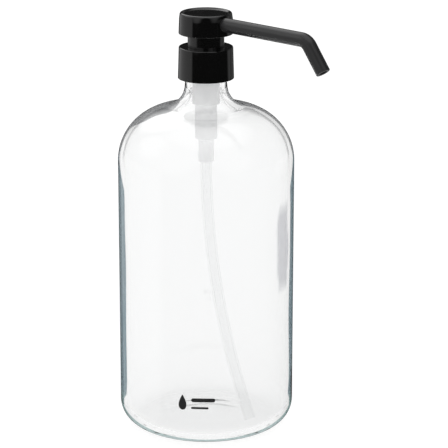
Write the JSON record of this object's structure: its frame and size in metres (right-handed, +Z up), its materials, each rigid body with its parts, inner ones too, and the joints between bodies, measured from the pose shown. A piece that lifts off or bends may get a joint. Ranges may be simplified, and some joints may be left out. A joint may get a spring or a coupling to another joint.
{
  "type": "soap pump dispenser",
  "caption": "Round-shouldered clear glass bottle with a black screw closure, lock-down pump head, angled satin spout and curved dip tube.",
  "frame": {"origin": "centre of the bottle's base, on the surface it stands on", "axes": "+Z up along the bottle's axis, +X the way the spout points"},
  "size_m": [0.133, 0.095, 0.2291],
  "materials": {
    "clear_glass": "clear, polished",
    "black_gloss": "high gloss black",
    "seal_foam": "soft white foam",
    "natural_plastic": "translucent white",
    "black_plastic": "satin black",
    "piston_plastic": "soft translucent",
    "spring_steel": "bright steel wire",
    "tube_plastic": "translucent",
    "spout_satin": "satin black"
  },
  "bodies": {
    "bottle": {"glass_bottle": "clear_glass"},
    "pump_body": {"housing": "natural_plastic", "lock_collar": "black_plastic", "stem_seal": "seal_foam", "bottle_gasket": "seal_foam", "ball_cage": "natural_plastic", "dip_tube": "tube_plastic", "return_spring": "spring_steel"},
    "screw_cap": {"closure": "black_gloss"},
    "rod": {"piston_rod": "natural_plastic"},
    "seal_cup": {"piston": "piston_plastic"},
    "plunger": {"stem": "natural_plastic", "head_core": "black_plastic", "head_shell": "black_gloss", "spout": "spout_satin"},
    "check_ball": {"inlet_ball": "spring_steel"}
  },
  "joints": [
    {"name": "closure_lift", "type": "slide", "parent": "bottle", "child": "pump_body", "axis": [0, 0, 1], "range_m": [0, 0.00529]},
    {"name": "closure_turn", "type": "hinge", "parent": "pump_body", "child": "screw_cap", "pos_m": [0, 0, 0.2], "axis": [0, 0, 1], "range_deg": [0, 450]},
    {"name": "pump_stroke", "type": "slide", "parent": "pump_body", "child": "rod", "axis": [0, 0, 1], "range_m": [0, 0.0125], "stiffness_N_per_m": 700, "springref_m": 0.0245, "deforming": ["return_spring"]},
    {"name": "outlet_valve", "type": "slide", "parent": "rod", "child": "seal_cup", "axis": [0, 0, 1], "range_m": [0, 0.0008]},
    {"name": "head_swivel", "type": "hinge", "parent": "rod", "child": "plunger", "pos_m": [0, 0, 0.2], "axis": [0, 0, 1], "continuous": true},
    {"name": "inlet_valve", "type": "slide", "parent": "pump_body", "child": "check_ball", "axis": [0, 0, 1], "range_m": [0, 0.001]}
  ],
  "couplings": [
    {"joint": "closure_turn", "follows": "closure_lift", "rad_per_m": 1484.3}
  ]
}
